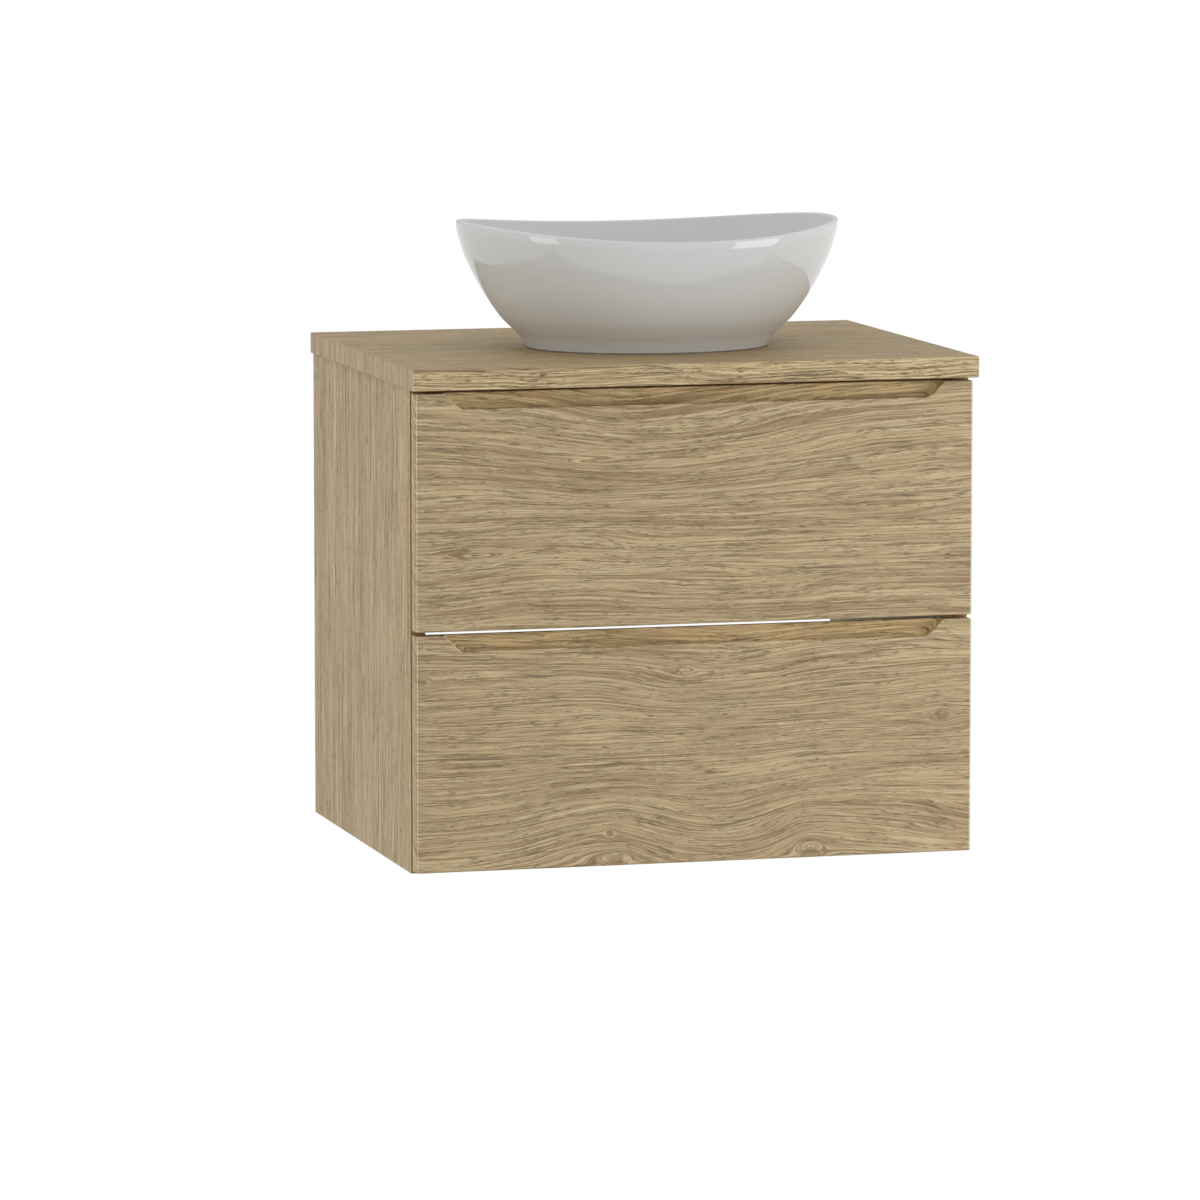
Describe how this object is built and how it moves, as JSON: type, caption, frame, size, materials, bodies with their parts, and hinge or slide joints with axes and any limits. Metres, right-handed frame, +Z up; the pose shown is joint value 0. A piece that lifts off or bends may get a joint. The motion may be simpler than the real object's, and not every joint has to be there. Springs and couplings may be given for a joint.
{
  "type": "vanity unit with vessel basin",
  "caption": "Wall-hung oak-finish vanity cabinet with full-extension drawers, a worktop and an oval vessel basin with waste and trap.",
  "frame": {"origin": "middle of the worktop's footprint, at the height of the cabinet's underside", "axes": "+Z up, +Y towards the wall the cabinet hangs on, +X to the right for a person facing the drawers"},
  "size_m": [0.6, 0.46, 0.6522],
  "materials": {
    "oak_board": "oak-finish melamine board, matt",
    "oak_foil": "oak-finish foil on MDF, satin",
    "white_board": "white melamine board, matt",
    "grey_steel": "silver-grey powder coat",
    "zinc_steel": "bright zinc plate",
    "chrome": "polished chrome plate",
    "white_plastic": "moulded, satin",
    "grey_plastic": "moulded, satin",
    "rubber": "moulded",
    "silicone": "translucent bead",
    "ceramic": "white glaze, glossy"
  },
  "bodies": {
    "cabinet": {"side_panel_left": "oak_board", "side_panel_right": "oak_board", "bottom_panel": "oak_board", "front_top_rail": "oak_board", "rear_bottom_rail": "oak_board", "rear_top_rail": "oak_board", "hanging_rail": "zinc_steel", "hanger_housing_left": "grey_plastic", "hanger_housing_right": "grey_plastic", "hanger_hook_left": "zinc_steel", "hanger_hook_right": "zinc_steel", "hanger_height_screw_left": "zinc_steel", "hanger_height_screw_right": "zinc_steel", "hanger_depth_screw_left": "zinc_steel", "hanger_depth_screw_right": "zinc_steel", "worktop": "oak_board", "lower_runner_cabinet_left": "zinc_steel", "lower_runner_cabinet_right": "zinc_steel", "upper_runner_cabinet_left": "zinc_steel", "upper_runner_cabinet_right": "zinc_steel", "basin": "ceramic", "basin_sealant_bead": "silicone", "waste_body": "chrome", "waste_gasket": "rubber", "waste_locknut": "chrome", "trap_inlet_nut": "chrome", "trap_inlet_pipe": "chrome", "trap_body": "chrome", "trap_body_nut": "chrome", "trap_cup": "chrome", "trap_outlet_nut": "chrome", "trap_outlet_pipe": "chrome", "trap_wall_flange": "chrome"},
    "upper_drawer": {"upper_drawer_front": "oak_foil", "upper_drawer_side_left": "grey_steel", "upper_drawer_side_right": "grey_steel", "upper_front_fixing_left": "white_plastic", "upper_front_fixing_right": "white_plastic", "upper_drawer_bottom": "white_board", "siphon_surround": "white_plastic", "upper_drawer_back_left": "white_board", "upper_drawer_back_right": "white_board", "upper_runner_drawer_left": "zinc_steel", "upper_runner_drawer_right": "zinc_steel"},
    "upper_runner": {"upper_runner_middle_left": "zinc_steel", "upper_runner_middle_right": "zinc_steel"},
    "lower_drawer": {"lower_drawer_front": "oak_foil", "lower_drawer_side_left": "grey_steel", "lower_drawer_side_right": "grey_steel", "lower_front_fixing_left": "white_plastic", "lower_front_fixing_right": "white_plastic", "lower_drawer_bottom": "white_board", "lower_drawer_back": "white_board", "lower_runner_drawer_left": "zinc_steel", "lower_runner_drawer_right": "zinc_steel"},
    "lower_runner": {"lower_runner_middle_left": "zinc_steel", "lower_runner_middle_right": "zinc_steel"},
    "plug": {"waste_plug": "chrome"}
  },
  "joints": [
    {"name": "upper_drawer_slide", "type": "slide", "parent": "cabinet", "child": "upper_drawer", "axis": [0, -1, 0], "range_m": [0, 0.35]},
    {"name": "upper_runner_slide", "type": "slide", "parent": "cabinet", "child": "upper_runner", "axis": [0, -1, 0], "range_m": [0, 0.175]},
    {"name": "lower_drawer_slide", "type": "slide", "parent": "cabinet", "child": "lower_drawer", "axis": [0, -1, 0], "range_m": [0, 0.35]},
    {"name": "lower_runner_slide", "type": "slide", "parent": "cabinet", "child": "lower_runner", "axis": [0, -1, 0], "range_m": [0, 0.175]},
    {"name": "waste_plug_press", "type": "slide", "parent": "cabinet", "child": "plug", "axis": [0, 0, -1], "range_m": [0, 0.0075]}
  ],
  "couplings": [
    {"joint": "upper_runner_slide", "follows": "upper_drawer_slide", "ratio": 0.5},
    {"joint": "lower_runner_slide", "follows": "lower_drawer_slide", "ratio": 0.5}
  ]
}
